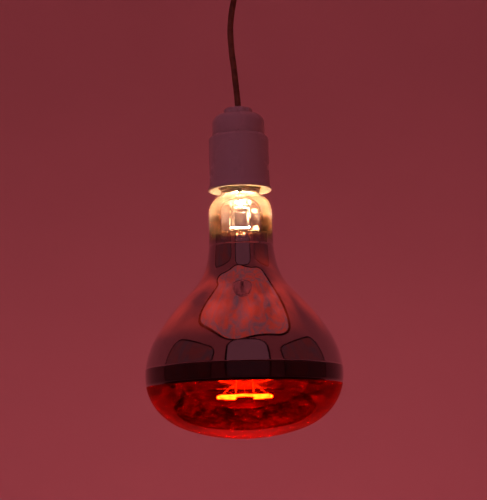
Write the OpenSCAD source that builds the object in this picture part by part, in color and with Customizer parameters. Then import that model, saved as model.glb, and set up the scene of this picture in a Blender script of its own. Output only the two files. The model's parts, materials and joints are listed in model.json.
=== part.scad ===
// Pendant reflector heat lamp: a ceiling rose, a short hanging cord, a screw lampholder
// and a red infra-red reflector lamp with a 27 mm screw cap. Millimetres, +Z up.
// The origin is the middle of the face that rests on the ceiling, so the lamp hangs below it.

/* [Hanging] */
// Ceiling to the point that the cord swings about
pivot_drop = 38; // [36:1:40]
// Swinging point to the top of the cord grip nut
cord_drop = 85; // [80:5:90]
// Radius of the round cord
cord_r = 2; // [1.8:0.1:2]

/* [Ceiling rose] */
// Outer radius of the cover
rose_r = 40; // [40:1:44]
// Distance between the two ceiling fixing holes
fixing_span = 51; // [50:1:52]
// Radius of a ceiling fixing hole
fixing_hole_r = 2.25; // [2:0.25:2.5]
// Radius of the hole that the supply cable comes in by
entry_r = 6; // [4:1:7]

/* [Lampholder] */
// Outer radius of the skirt
skirt_r = 19.35; // [19.35:0.1:20.5]
// Outer radius of the flared rim
rim_r = 20.4; // [20:0.1:21]
// Height of the skirt, from its rim to the seam
skirt_h = 36; // [36:0.5:38]
// Outer radius of the domed cap
cap_r = 16.95; // [16.95:0.05:17.2]
// Thickness of the threaded shell
shell_wall = 0.35; // [0.3:0.05:0.4]

/* [Lamp] */
// Largest radius of the bulb
bulb_r = 62.5; // [60:0.5:65]
// Radius of the clear neck
neck_r = 20.3; // [19.5:0.1:20.5]
// Thickness of the glass
glass_wall = 1.1; // [0.8:0.1:1.4]
// Radius of the ring filament
filament_r = 16.75; // [15:0.25:18]
// Height of the filament above the lowest point of the bulb
filament_h = 26.5; // [23:0.5:30]

/* [Screw thread] */
// Rise of the lamp thread in one turn
lamp_pitch = 3.629; // [3.5:0.001:3.75]
// Smallest radius of the lamp cap thread
lamp_minor_r = 12.1; // [12:0.05:12.2]
// Depth of the rolled thread
thread_depth = 1; // [0.8:0.05:1]

/* [Hidden] */

round_fn = 64;
gap = 0.3;
collar_h = 19;
lamp_below_rim = 158;
pivot_z = -pivot_drop;
rim_z = pivot_z - cord_drop - skirt_h - collar_h;
lamp_z = rim_z - lamp_below_rim;
cap_top = skirt_h + 14.5;
nut_top = skirt_h + collar_h;

white = [0.92, 0.91, 0.88];
ivory = [0.86, 0.83, 0.74];
brass = [0.80, 0.62, 0.30];
steel = [0.72, 0.73, 0.75];
tan_cover = [0.50, 0.36, 0.22];

function unit(v) = v / norm(v);
function arc(centre, r, from, to, steps) =
    [for (i = [0:steps]) let (a = from + (to - from) * i / steps)
        centre + r * [cos(a), sin(a)]];
function bezier(a, b, c, d, steps) =
    [for (i = [0:steps]) let (t = i / steps, s = 1 - t)
        s * s * s * a + 3 * s * s * t * b + 3 * s * t * t * c + t * t * t * d];

// A round tube along a route. No stretch of the route may run along side.
function heading(route, i) =
    unit(route[min(i + 1, len(route) - 1)] - route[max(i - 1, 0)]);
function ring(route, i, r, sides, side) =
    let (t = heading(route, i), u = unit(cross(side, t)), v = cross(t, u))
    [for (k = [0:sides - 1]) let (a = 360 * k / sides) route[i] + r * (cos(a) * u + sin(a) * v)];
module tube(route, r, side = [0, 1, 0], sides = 8) {
    rings = len(route);
    points = [for (i = [0:rings - 1]) each ring(route, i, r, sides, side)];
    wall = [for (i = [0:rings - 2], k = [0:sides - 1])
        let (a = i * sides + k, b = i * sides + (k + 1) % sides)
        each [[a, a + sides, b + sides], [a, b + sides, b]]];
    start = [for (k = [0:sides - 1]) k];
    end = [for (k = [sides - 1:-1:0]) (rings - 1) * sides + k];
    polyhedron(points = points, faces = concat(wall, [start, end]), convexity = 6);
}

// The rolled thread of the lamp cap: a round wave that climbs one pitch in each turn.
// It fades in over one run-out at each end of the threaded length.
runout = 1.5;
function clamp01(x) = max(0, min(1, x));
function thread_wave(z, a, from, to) =
    clamp01((z - from) / runout) * clamp01((to - z) / runout)
    * (0.5 + 0.5 * cos(360 * z / lamp_pitch - a));

// A wall between two surfaces, each given as a radius at height z and angle a.
module wavy_wall(heights, outer, inner, sides = 32) {
    n = len(heights);
    points = [for (side = [outer, inner], z = heights, k = [0:sides - 1])
        let (a = 360 * k / sides, r = side(z, a)) [r * cos(a), r * sin(a), z]];
    half = n * sides;
    faces = [for (i = [0:n - 2], k = [0:sides - 1])
        let (m = (k + 1) % sides, a = i * sides + k, b = i * sides + m)
        each [[a, a + sides, b + sides], [a, b + sides, b],
            [half + a, half + b, half + b + sides], [half + a, half + b + sides, half + a + sides]]];
    top = (n - 1) * sides;
    ends = [for (k = [0:sides - 1]) let (m = (k + 1) % sides)
        each [[k, m, half + m], [k, half + m, half + k],
            [top + k, half + top + k, half + top + m], [top + k, half + top + m, top + m]]];
    polyhedron(points = points, faces = concat(faces, ends), convexity = 8);
}
function steps_between(from, to, n) = [for (i = [0:n]) from + (to - from) * i / n];

// A pan-head screw, its head at z = 0 and above, its shank below, with a slot.
module screw(shank_r, shank_h, head_r, head_h) {
    slot = head_h * 0.45;
    difference() {
        union() {
            translate([0, 0, -shank_h]) cylinder(r = shank_r, h = shank_h, $fn = 32);
            cylinder(r1 = head_r, r2 = head_r * 0.8, h = head_h, $fn = 32);
        }
        translate([-head_r, -0.35, head_h - slot]) cube([2 * head_r, 0.7, slot + 1]);
    }
}
module mirrored_pair() {
    children();
    mirror([1, 0, 0]) children();
}

// ---- Ceiling rose ----
base_r = rose_r - 2.2;
base_floor = 4;
base_rim_z = -9;
cover_screw_at = 31;
cover_screw_turn = 45;
clamp_y = -17;
clamp_face_z = -20.5;
clamp_screw_x = 5.5;
terminal_z = -14.5;
rose_terminal_r = 2.6;
terminal_screw_r = 1.2;
pole_step = 10;

module cover_screw_places() {
    for (turn = [cover_screw_turn, cover_screw_turn + 180]) {
        rotate([0, 0, turn]) translate([cover_screw_at, 0, 0]) children();
    }
}
module rose_base() {
    color(white) difference() {
        union() {
            translate([0, 0, -base_floor]) cylinder(r = base_r, h = base_floor, $fn = round_fn);
            translate([0, 0, base_rim_z]) difference() {
                cylinder(r = base_r, h = -base_rim_z, $fn = round_fn);
                translate([0, 0, -1]) cylinder(r = base_r - 3, h = -base_rim_z + 2, $fn = round_fn);
            }
            translate([-16, -6, -10]) cube([32, 12, 7]);
            translate([-8.5, clamp_y - 3, clamp_face_z]) cube([17, 6, -clamp_face_z - 1]);
            cover_screw_places() translate([0, 0, base_rim_z]) cylinder(r = 3.5, h = 8, $fn = 32);
        }
        for (side = [-1, 1]) {
            translate([side * fixing_span / 2, 0, -15])
                cylinder(r = fixing_hole_r, h = 20, $fn = 32);
            translate([side * clamp_screw_x, clamp_y, clamp_face_z - 1]) cylinder(r = 1.5, h = 11, $fn = 32);
        }
        translate([0, 24, -10]) cylinder(r = entry_r, h = 12, $fn = 32);
        cover_screw_places() translate([0, 0, base_rim_z - 1]) cylinder(r = 1.5, h = 7, $fn = 32);
    }
}
module rose_cover() {
    nozzle_r = 8;
    mouth_z = pivot_z - 4.2;
    shell = concat(
        [[rose_r, -0.5], [rose_r, -24]],
        arc([rose_r - 9, -24], 9, 0, -90, 8),
        [[nozzle_r + 1.2, -34.6]],
        arc([nozzle_r + 1.2, -35.8], 1.2, 90, 180, 3),
        [[nozzle_r, mouth_z + 0.6], [nozzle_r - 0.6, mouth_z], [5.4, mouth_z],
            [5.4, mouth_z + 1], [6.4, mouth_z + 1], [6.4, -32.6], [rose_r - 9, -31]],
        arc([rose_r - 9, -24], 7, -90, 0, 8),
        [[rose_r - 2, -0.5]]);
    color(white) difference() {
        union() {
            rotate_extrude($fn = round_fn) polygon(shell);
            cover_screw_places() translate([0, 0, -32]) cylinder(r = 3.6, h = 23, $fn = 32);
        }
        cover_screw_places() {
            translate([0, 0, -40]) cylinder(r = 1.7, h = 40, $fn = 32);
            translate([0, 0, -36]) cylinder(r = 2.9, h = 5, $fn = 32);
        }
    }
}
module rose_cover_screws() {
    color(steel) cover_screw_places() translate([0, 0, -31]) mirror([0, 0, 1])
        screw(1.5, 25, 2.7, 1.6);
}
module rose_terminal_block() {
    color(ivory) difference() {
        translate([-15.5, -5.5, -19]) cube([31, 11, 9]);
        for (pole = [-1:1]) {
            translate([pole * pole_step, -7, terminal_z]) rotate([-90, 0, 0])
                cylinder(r = rose_terminal_r, h = 14, $fn = 32);
            translate([pole * pole_step, 0, -21]) cylinder(r = 2, h = 5, $fn = 32);
        }
    }
}
module rose_terminals() {
    color(brass) for (pole = [-1:1]) {
        translate([pole * pole_step, -5.5, terminal_z]) rotate([-90, 0, 0]) difference() {
            cylinder(r = rose_terminal_r, h = 11, $fn = 32);
            translate([0, 0, -1]) cylinder(r = 1.5, h = 13, $fn = 32);
            translate([0, 0, 5.5]) rotate([-90, 0, 0])
                cylinder(r = terminal_screw_r, h = 4, $fn = 32);
        }
    }
}
module rose_terminal_screws() {
    color(steel) for (pole = [-1:1]) {
        translate([pole * pole_step, 0, -18]) mirror([0, 0, 1])
            screw(terminal_screw_r, 2.2, 1.9, 0.9);
    }
}
module rose_cord_clamp() {
    color(ivory) difference() {
        translate([-8.5, clamp_y - 3, clamp_face_z - 2 * cord_r - 2.5]) cube([17, 6, 2.5]);
        for (side = [-1, 1]) {
            translate([side * clamp_screw_x, clamp_y, -30]) cylinder(r = 1.6, h = 10, $fn = 32);
        }
    }
}
module rose_clamp_screws() {
    color(steel) for (side = [-1, 1]) {
        translate([side * clamp_screw_x, clamp_y, clamp_face_z - 2 * cord_r - 2.5]) mirror([0, 0, 1])
            screw(1.45, 14, 2.6, 1.6);
    }
}
tail_bend_r = 10;
tail_z = clamp_face_z - cord_r;
module rose_cord_tail() {
    color(tan_cover) {
        translate([0, 0, pivot_z + 1.6])
            cylinder(r = cord_r, h = tail_z - tail_bend_r - pivot_z - 1.6, $fn = 32);
        translate([0, -tail_bend_r, tail_z - tail_bend_r]) rotate([90, 0, 90])
            rotate_extrude(angle = 90, $fn = 48) translate([tail_bend_r, 0]) circle(r = cord_r, $fn = 32);
        translate([0, -tail_bend_r, tail_z]) rotate([90, 0, 0]) cylinder(r = cord_r, h = 12, $fn = 32);
    }
}
module rose_cores() {
    route = [[0.95, -22, tail_z], [0.95, -23, tail_z], [3.5, -25, -21.6], [7.5, -25.2, -19.6],
        [10.8, -22.5, -17],
        [11.2, -17, -15.2], [10.5, -11, terminal_z], [pole_step, -8, terminal_z],
        [pole_step, -5.5, terminal_z]];
    mirrored_pair() color([0.15, 0.25, 0.55]) tube(route, 0.9, [0.2, 0.1, 1]);
}

// ---- Swinging bush in the nozzle of the cover ----
bush_r = 6;
bush_half_h = 3.4;
module cord_bush() {
    flare = bezier([4.2, -bush_half_h], [3, -bush_half_h + 1], [2.35, -1.4], [2.35, 0], 5);
    flare_up = [for (i = [len(flare) - 2:-1:0]) [flare[i][0], -flare[i][1]]];
    edge = asin(bush_half_h / bush_r);
    color([0.25, 0.25, 0.25]) translate([0, 0, pivot_z]) rotate_extrude($fn = 48)
        polygon(concat(flare, flare_up, arc([0, 0], bush_r, edge, -edge, 8)));
}

// ---- Hanging cord ----
// Each point is across, depth and height above the cord grip nut.
cord_route = [[0, 0, 85], [0, 0, 81], [-0.4, 0.1, 76], [-1.4, 0.3, 71], [-2.4, 0.5, 66],
    [-3.2, 0.6, 60], [-3.7, 0.7, 54], [-3.7, 0.7, 48], [-3.4, 0.6, 42], [-3, 0.5, 36],
    [-2.3, 0.4, 30], [-1.7, 0.3, 24], [-1.2, 0.2, 18], [-0.7, 0.1, 12], [-0.3, 0, 7],
    [0, 0, 2], [0, 0, -4], [0, 0, -12]];
module cord() {
    scale_z = cord_drop / cord_route[0][2];
    route = [for (p = cord_route) [p[0], p[1], p[2] * (p[2] > 0 ? scale_z : 1) + nut_top + rim_z]];
    color(tan_cover) tube(route, cord_r);
}

// ---- Lampholder, drawn up from its rim ----
module on_rim() {
    translate([0, 0, rim_z]) children();
}
module cord_grip_nut() {
    head_r = 8.2;
    lobes = 10;
    stem_foot = cap_top - 3.8;
    color(white) on_rim() difference() {
        union() {
            translate([0, 0, cap_top]) linear_extrude(3.6) union() {
                circle(r = head_r, $fn = 48);
                for (i = [0:lobes - 1]) {
                    rotate([0, 0, 360 * i / lobes]) translate([head_r - 0.3, 0]) circle(r = 1.3, $fn = 24);
                }
            }
            translate([0, 0, cap_top + 3.6]) cylinder(r1 = head_r, r2 = 5, h = 0.9, $fn = 48);
            translate([0, 0, stem_foot]) cylinder(r = 5, h = 4, $fn = 48);
        }
        translate([0, 0, stem_foot - 1]) cylinder(r = 3.7, h = 7.2, $fn = 48);
        translate([0, 0, stem_foot]) cylinder(r = 2.3, h = 12, $fn = 48);
    }
}
module cord_grip_sleeve() {
    foot = cap_top - 6;
    color(ivory) on_rim() difference() {
        union() {
            translate([0, 0, foot]) cylinder(r = 3.6, h = 8, $fn = 48);
            translate([0, 0, foot - 1.2]) cylinder(r = 4.6, h = 1.2, $fn = 48);
        }
        translate([0, 0, foot - 2]) cylinder(r = cord_r + 0.05, h = 12, $fn = 48);
        for (turn = [0, 60, 120]) {
            rotate([0, 0, turn]) translate([-6, -0.3, foot + 1.5]) cube([12, 0.6, 8]);
        }
    }
}
spigot_r = cap_r - 0.35;
carrier_r = 14.4;
carrier_floor = 28;
carrier_top = 38;
terminal_x = 8;
carrier_screw_y = 10;
rivet_r = 1.2;
module holder_cap() {
    crown = cap_top - 0.5;
    roof = crown - 2.8;
    profile = concat(
        [[spigot_r, 27], [spigot_r, skirt_h + 0.2], [cap_r, skirt_h + 0.2]],
        arc([cap_r - 5.5, crown - 5.5], 5.5, 0, 90, 8),
        [[8.4, cap_top], [5.05, cap_top], [5.05, roof]],
        arc([carrier_r - 4, roof - 4], 4, 90, 0, 6),
        [[carrier_r, 27]]);
    color(white) on_rim() difference() {
        union() {
            rotate_extrude($fn = round_fn) polygon(profile);
            for (side = [-1, 1]) {
                translate([0, side * carrier_screw_y, carrier_top])
                    cylinder(r = 2.6, h = roof - carrier_top - 0.6, $fn = 32);
            }
        }
        for (side = [-1, 1]) {
            translate([0, side * carrier_screw_y, carrier_top - 1]) cylinder(r = 1.4, h = 8, $fn = 32);
        }
    }
}
module terminal_carrier() {
    floor_top = carrier_floor + 4;
    color(ivory) on_rim() difference() {
        translate([0, 0, carrier_floor])
            cylinder(r = carrier_r, h = carrier_top - carrier_floor, $fn = round_fn);
        difference() {
            translate([0, 0, floor_top]) cylinder(r = carrier_r - 1.2, h = 10, $fn = round_fn);
            translate([-4.2, -20, floor_top - 1]) cube([8.4, 40, 12]);
        }
        for (side = [-1, 1]) {
            translate([side * terminal_x, 0, carrier_floor - 1]) cylinder(r = rivet_r, h = 8, $fn = 32);
            translate([0, side * carrier_screw_y, carrier_floor - 1]) {
                cylinder(r = 1.6, h = 14, $fn = 32);
                cylinder(r = 2.9, h = 3, $fn = 32);
            }
        }
    }
}
module carrier_screws() {
    color(steel) on_rim() for (side = [-1, 1]) {
        translate([0, side * carrier_screw_y, carrier_floor + 2]) mirror([0, 0, 1])
            screw(1.35, 13, 2.6, 1.5);
    }
}
block_h = 5.8;
module holder_terminals() {
    color(brass) on_rim() mirrored_pair() translate([terminal_x, 0, carrier_floor + 4]) difference() {
        translate([-3, -3.8, 0]) cube([6, 7.6, block_h]);
        translate([0, 5, block_h / 2]) rotate([90, 0, 0]) cylinder(r = 1.3, h = 10, $fn = 32);
        translate([0, 0, block_h / 2]) cylinder(r = terminal_screw_r, h = 5, $fn = 32);
        translate([0, 0, -1]) cylinder(r = rivet_r, h = 2.2, $fn = 32);
    }
}
module holder_terminal_screws() {
    color(steel) on_rim() mirrored_pair()
        translate([terminal_x, 0, carrier_floor + 4 + block_h])
            screw(terminal_screw_r, 2.6, 2.2, 1.6);
}
module leaf(side_view, width) {
    translate([0, width / 2, 0]) rotate([90, 0, 0]) linear_extrude(width) polygon(side_view);
}
module centre_contact() {
    t = 0.5;
    z = carrier_floor;
    low = 25.7;
    color(brass) on_rim() difference() {
        leaf([[11, z], [11, z - t], [5.5, z - t], [3, low], [-3, low], [-4.2, low + 0.6],
            [-3.9, low + 1], [-2.8, low + t], [3.2, low + t], [5.6, z]], 6);
        translate([terminal_x, 0, z - 2]) cylinder(r = rivet_r, h = 4, $fn = 32);
    }
}
module side_contact() {
    t = 0.5;
    z = carrier_floor;
    low = 24.9;
    color(brass) on_rim() mirror([1, 0, 0]) difference() {
        leaf([[5.6, z], [5.6, z - t], [10.6, z - t], [12.6, low], [14, low], [14.3, low + 0.6],
            [13.9, low + 0.9], [13, low + t], [11, z]], 5);
        translate([terminal_x, 0, z - 2]) cylinder(r = rivet_r, h = 4, $fn = 32);
    }
}
module contact_rivets() {
    color(brass) on_rim() mirrored_pair() translate([terminal_x, 0, 0]) {
        translate([0, 0, carrier_floor - 0.5]) cylinder(r = rivet_r, h = 5.6, $fn = 32);
        translate([0, 0, carrier_floor - 1.1]) cylinder(r1 = 1.5, r2 = 2, h = 0.6, $fn = 32);
    }
}
module core(first_y) {
    route = [[0.95, 0, 43], [0.95, 0, 42.3], [2.3, 0.9, 41.5], [4.4, 3.6, 40.7], [6.6, 7, 39.6],
        [terminal_x, 8.6, 37.6], [terminal_x, 7.6, 35.6], [terminal_x, 5.6, 34.9],
        [terminal_x, 3.8, 34.9]];
    on_rim() tube([for (p = route) [p[0], p[1] * first_y, p[2]]], 0.9, [1, 0.3, 0.5]);
}
module live_core() {
    color([0.36, 0.20, 0.10]) core(1);
}
module neutral_core() {
    color([0.15, 0.25, 0.55]) mirror([1, 0, 0]) core(1);
}
shell_seat = 24;
shell_foot = 2;
flange_h = 0.6;
flange_r = 16.6;
module shell_ring() {
    color(steel) on_rim() translate([0, 0, shell_seat + flange_h + 0.2]) difference() {
        cylinder(r = flange_r, h = 1.2, $fn = round_fn);
        translate([0, 0, -1]) cylinder(r = 14.6, h = 4, $fn = round_fn);
    }
}
module holder_skirt() {
    bore = spigot_r + gap;
    profile = [[rim_r - 0.5, 0], [rim_r, 0.5], [rim_r, 1.4], [skirt_r + 0.3, 3], [skirt_r, 4.5],
        [skirt_r, skirt_h - 1.8], [bore + 0.7, skirt_h], [bore, skirt_h], [bore, shell_seat],
        [14.1, shell_seat], [14.1, 6], [18, 0.5], [18.5, 0]];
    color(white) on_rim() rotate_extrude($fn = round_fn) polygon(profile);
}
// Depth of the shell's thread at height z and angle a, with a flared lead-in at its foot
shell_lead_in = 2;
function shell_wave(z, a) = thread_depth * max(1 - (z - shell_foot) / shell_lead_in,
    thread_wave(z, a, shell_foot - runout, shell_seat - 1));
module thread_shell() {
    inner_minor = lamp_minor_r + gap;
    inner = function(z, a) inner_minor + shell_wave(z, a);
    outer = function(z, a) z > shell_seat ? flange_r : inner_minor + shell_wall + shell_wave(z, a);
    heights = concat(steps_between(shell_foot, shell_seat, 48),
        [shell_seat + 0.05, shell_seat + flange_h]);
    color(brass) on_rim() wavy_wall(heights, outer, inner);
}

// ---- Lamp, drawn up from the lowest point of its bulb ----
module on_lamp() {
    translate([0, 0, lamp_z]) children();
}
cap_foot = 155.2;
cap_head = 176.6;
insulator_z = cap_head + gap;
tip_z = 180.8;
module cap_insulator() {
    profile = [[2.2, 174.2], [7.6, 174.2], [8, 174.8], [8, insulator_z], [10.4, insulator_z],
        [10.4, insulator_z + 0.7], [9.6, insulator_z + 1.4], [6.2, tip_z - 0.6], [5.4, tip_z],
        [2.2, tip_z]];
    color([0.06, 0.06, 0.08]) on_lamp() rotate_extrude($fn = round_fn) polygon(profile);
}
module tip_contact() {
    dome = arc([0, tip_z - 0.4], 2.8, 25, 90, 5);
    color([0.62, 0.62, 0.60]) on_lamp() rotate_extrude($fn = 48)
        polygon(concat([[0, tip_z], [4.8, tip_z], [4.8, tip_z + 0.4], [4.3, tip_z + 0.8]], dome));
}
module lamp_cap_shell() {
    thread_from = cap_foot + 1.2;
    thread_to = 173.4;
    neck_in = function(z) 1.05 * max(0, z - thread_to - 0.2);
    outer = function(z, a) lamp_minor_r - neck_in(z)
        + thread_depth * max(thread_wave(z - lamp_below_rim, a, thread_from - lamp_below_rim,
            thread_to - lamp_below_rim), clamp01(1.15 - (z - cap_foot) / 1.2));
    inner = function(z, a) lamp_minor_r - 0.3 - neck_in(z);
    heights = concat(steps_between(cap_foot, thread_to, 40),
        steps_between(thread_to + 0.6, cap_head, 4));
    color([0.78, 0.76, 0.70]) on_lamp() wavy_wall(heights, outer, inner);
}
module side_solder() {
    color([0.62, 0.62, 0.60]) on_lamp() translate([0, -lamp_minor_r - thread_depth, cap_foot + 0.6])
        rotate([90, 0, 0]) cylinder(r1 = 1.4, r2 = 0.7, h = 0.8, $fn = 24);
}
tail_r = 11.2;
module cap_cement() {
    color([0.75, 0.70, 0.60]) on_lamp() rotate_extrude($fn = round_fn)
        polygon([[tail_r + 0.03, cap_foot + 1.4], [lamp_minor_r - 0.38, cap_foot + 1.4],
            [lamp_minor_r - 0.38, 162], [tail_r + 0.03, 162]]);
}

// Outline of the glass, from the lowest point to the neck inside the cap
face_r = 115;
face_edge = 34;
belly_z = 40.5;
face_angle = asin(face_edge / face_r);
face_end = [face_edge, face_r - face_r * cos(face_angle)];
shoulder = [31.8, 94];
neck_start = 136;
neck_end = 143;
glass_outline = concat(
    arc([0, face_r], face_r, -90, -90 + face_angle, 8),
    bezier(face_end, face_end + 17 * [cos(face_angle), sin(face_angle)],
        [bulb_r, belly_z - 18.5], [bulb_r, belly_z], 10),
    bezier([bulb_r, belly_z], [bulb_r, belly_z + 19.5], shoulder + [15, -15], shoulder, 12),
    bezier(shoulder, shoulder + [-10, 10], [neck_r, 116], [neck_r, neck_start], 10),
    bezier([neck_r, neck_end], [neck_r, 149], [17.5, 153.4], [13.4, 154.4], 8),
    bezier([12.4, 154.7], [11.6, 154.9], [tail_r, 155.3], [tail_r, 156.4], 4),
    [[tail_r, 171]]);
function without_repeats(p) =
    [for (i = [0:len(p) - 1]) if (i == 0 || norm(p[i] - p[i - 1]) > 0.01) p[i]];
function inset(p, i, d) =
    i == 0 ? [0, d]
    : let (t = unit(p[min(i + 1, len(p) - 1)] - p[i - 1])) p[i] + d * [-t[1], t[0]];
module bulb_glass() {
    outside = without_repeats(glass_outline);
    last = len(outside) - 1;
    inside = [for (i = [last:-1:0]) inset(outside, i, glass_wall)];
    color([0.75, 0.12, 0.10, 0.55]) on_lamp() rotate_extrude($fn = 96)
        polygon(concat(outside, inside));
}
pinch_foot = 134;
pinch_top = 148;
wire_x = 4.5;
wire_r = 0.6;
module lamp_stem() {
    flare = [[7, pinch_top - 0.5], [7, 160], [8.2, 165], [9.9, 168], [9.9, 169.2], [8.4, 168.4],
        [7, 165.4], [5.6, 160], [5.6, pinch_top - 0.5]];
    color([0.85, 0.88, 0.90, 0.5]) on_lamp() difference() {
        union() {
            rotate_extrude($fn = 48) polygon(flare);
            intersection() {
                translate([0, 0, pinch_foot]) cylinder(r = 7, h = pinch_top - pinch_foot, $fn = 48);
                translate([-8, -2.8, pinch_foot]) cube([16, 5.6, pinch_top - pinch_foot]);
            }
        }
        for (side = [-1, 1]) {
            translate([side * wire_x, 0, pinch_foot - 1])
                cylinder(r = wire_r, h = pinch_top - pinch_foot + 2, $fn = 24);
        }
    }
}
module exhaust_tube() {
    color([0.85, 0.88, 0.90, 0.5]) on_lamp() translate([0, 0, pinch_top]) difference() {
        cylinder(r = 2.2, h = 22, $fn = 32);
        translate([0, 0, -1]) cylinder(r = 1.4, h = 25, $fn = 32);
    }
}
filament_gap = 40;
filament_end = filament_gap / 2;
module lead_wires() {
    reach = [filament_r * sin(filament_end), filament_r * cos(filament_end), filament_h];
    lower = [[wire_x, 0, 60], [wire_x, 0.6, 52], [wire_x, 3, 46], [wire_x + 0.4, 7.5, 40],
        [wire_x + 0.9, 12, filament_h + 7], reach + [0, -1.2, 2.4], reach + [0, 0, 0.9]];
    color(steel) on_lamp() mirrored_pair() {
        translate([wire_x, 0, 60]) cylinder(r = wire_r, h = 112, $fn = 24);
        tube(lower, wire_r, [1, 0, 0]);
    }
}
shield_z = 129.6;
module heat_shield() {
    r = 14.5;
    dish = [[2, shield_z - 1], [6.6, shield_z - 1], [7.8, shield_z], [r, shield_z], [r, shield_z + 0.4],
        [7.6, shield_z + 0.4], [6.4, shield_z - 0.6], [2, shield_z - 0.6]];
    color([0.85, 0.85, 0.87]) on_lamp() difference() {
        rotate_extrude($fn = 48) polygon(dish);
        for (side = [-1, 1]) {
            translate([side * wire_x, 0, shield_z - 3]) cylinder(r = 1.3, h = 6, $fn = 24);
        }
    }
}
hub_z = filament_h + 8;
hub_h = 5;
hub_r = 3;
module support_rod() {
    color([0.85, 0.88, 0.90, 0.5]) on_lamp() {
        translate([0, 0, hub_z + hub_h])
            cylinder(r = 1.5, h = pinch_foot - hub_z - hub_h, $fn = 24);
        translate([0, 0, shield_z - 0.6]) cylinder(r = 2.6, h = 1.2, $fn = 24);
    }
}
module support_hub() {
    color([0.85, 0.88, 0.90, 0.5]) on_lamp() translate([0, 0, hub_z]) rotate_extrude($fn = 32)
        polygon(concat([[0, 0]], arc([hub_r - 1, 1], 1, -90, 0, 3),
            arc([hub_r - 1, hub_h - 1], 1, 0, 90, 3), [[0, hub_h]]));
}
coil_r = 0.9;
loop_r = coil_r + 0.35;
module filament_supports() {
    drop = hub_z + 2 - filament_h;
    span = filament_r - loop_r - hub_r;
    color([0.55, 0.55, 0.58]) on_lamp() for (i = [1:5]) {
        rotate([0, 0, 90 + 60 * i]) {
            translate([hub_r, 0, hub_z + 2]) rotate([0, 90 + atan(drop / span), 0])
                cylinder(r = 0.25, h = norm([drop, span]), $fn = 16);
            translate([filament_r, 0, filament_h]) rotate([90, 0, 0])
                rotate_extrude($fn = 24) translate([loop_r, 0]) circle(r = 0.25, $fn = 16);
        }
    }
}
module filament() {
    color([1, 0.75, 0.3]) on_lamp() translate([0, 0, filament_h])
        rotate([0, 0, 90 + filament_end]) rotate_extrude(angle = 360 - filament_gap, $fn = 64)
        translate([filament_r, 0]) circle(r = coil_r, $fn = 16);
}

rose_base();
rose_cover();
rose_cover_screws();
rose_terminal_block();
rose_terminals();
rose_terminal_screws();
rose_cord_clamp();
rose_clamp_screws();
rose_cord_tail();
rose_cores();
cord_bush();
cord();
cord_grip_nut();
cord_grip_sleeve();
holder_cap();
terminal_carrier();
carrier_screws();
holder_terminals();
holder_terminal_screws();
centre_contact();
side_contact();
contact_rivets();
live_core();
neutral_core();
shell_ring();
holder_skirt();
thread_shell();
cap_insulator();
tip_contact();
lamp_cap_shell();
side_solder();
cap_cement();
bulb_glass();
lamp_stem();
exhaust_tube();
lead_wires();
heat_shield();
support_rod();
support_hub();
filament_supports();
filament();
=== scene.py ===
"""Looks of a pendant reflector heat lamp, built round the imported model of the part."""
import json
import math
import random

import bpy
from mathutils import Matrix, Vector, noise


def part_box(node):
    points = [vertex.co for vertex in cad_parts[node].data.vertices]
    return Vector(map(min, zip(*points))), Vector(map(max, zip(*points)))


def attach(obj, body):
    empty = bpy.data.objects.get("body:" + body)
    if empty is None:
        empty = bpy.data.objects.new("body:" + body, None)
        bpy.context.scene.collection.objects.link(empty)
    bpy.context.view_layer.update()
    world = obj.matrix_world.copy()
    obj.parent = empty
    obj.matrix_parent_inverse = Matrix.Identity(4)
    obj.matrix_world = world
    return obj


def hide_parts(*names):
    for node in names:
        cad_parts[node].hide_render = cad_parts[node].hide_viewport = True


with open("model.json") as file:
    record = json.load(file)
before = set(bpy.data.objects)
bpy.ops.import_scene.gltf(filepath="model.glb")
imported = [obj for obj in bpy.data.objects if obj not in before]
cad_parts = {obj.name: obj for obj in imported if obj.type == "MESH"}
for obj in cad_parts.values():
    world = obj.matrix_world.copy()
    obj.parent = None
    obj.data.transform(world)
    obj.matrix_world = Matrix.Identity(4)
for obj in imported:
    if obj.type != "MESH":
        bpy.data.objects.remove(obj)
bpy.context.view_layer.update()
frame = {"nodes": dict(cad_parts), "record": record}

MM = 0.001
random.seed(7)

# ---------------------------------------------------------------- places, from the frame
skirt_low, skirt_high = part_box("holder_skirt")
glass_low, glass_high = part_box("bulb_glass")
nut_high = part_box("cord_grip_nut")[1]
bush_low, bush_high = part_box("cord_bush")
RIM_Z = skirt_low.z
LAMP_Z = glass_low.z
BULB_R = glass_high.x
CORD_R = 2 * MM


# ---------------------------------------------------------------- camera
def make_camera():
    """A long lens just under the lamp, tipped up and rolled a little."""
    distance = 0.870
    below_lamp = 0.0166
    pitch, roll = math.radians(8.9), math.radians(-1.4)
    data = bpy.data.cameras.new("camera")
    data.lens = 99.2
    data.sensor_width = 36
    data.clip_end = 30
    camera = bpy.data.objects.new("camera", data)
    turn = Matrix.Rotation(math.pi / 2 + pitch, 4, "X") @ Matrix.Rotation(roll, 4, "Z")
    camera.matrix_world = Matrix.Translation((0.0014, -distance, LAMP_Z - below_lamp)) @ turn
    bpy.context.scene.collection.objects.link(camera)
    bpy.context.scene.camera = camera


make_camera()


# ---------------------------------------------------------------- mesh helpers
def add_mesh(name, verts, faces, slots=None, smooth=True):
    """A new mesh object. slots gives each face its material slot."""
    mesh = bpy.data.meshes.new(name)
    mesh.from_pydata([tuple(v) for v in verts], [], faces)
    for i, polygon in enumerate(mesh.polygons):
        polygon.use_smooth = smooth
        polygon.material_index = slots[i] if slots else 0
    mesh.validate()
    piece = bpy.data.objects.new(name, mesh)
    bpy.context.scene.collection.objects.link(piece)
    return piece


def arc(centre, r, start, end, steps):
    """Points on a circle, angles in degrees."""
    angles = [math.radians(start + (end - start) * i / steps) for i in range(steps + 1)]
    return [(centre[0] + r * math.cos(a), centre[1] + r * math.sin(a)) for a in angles]


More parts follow.
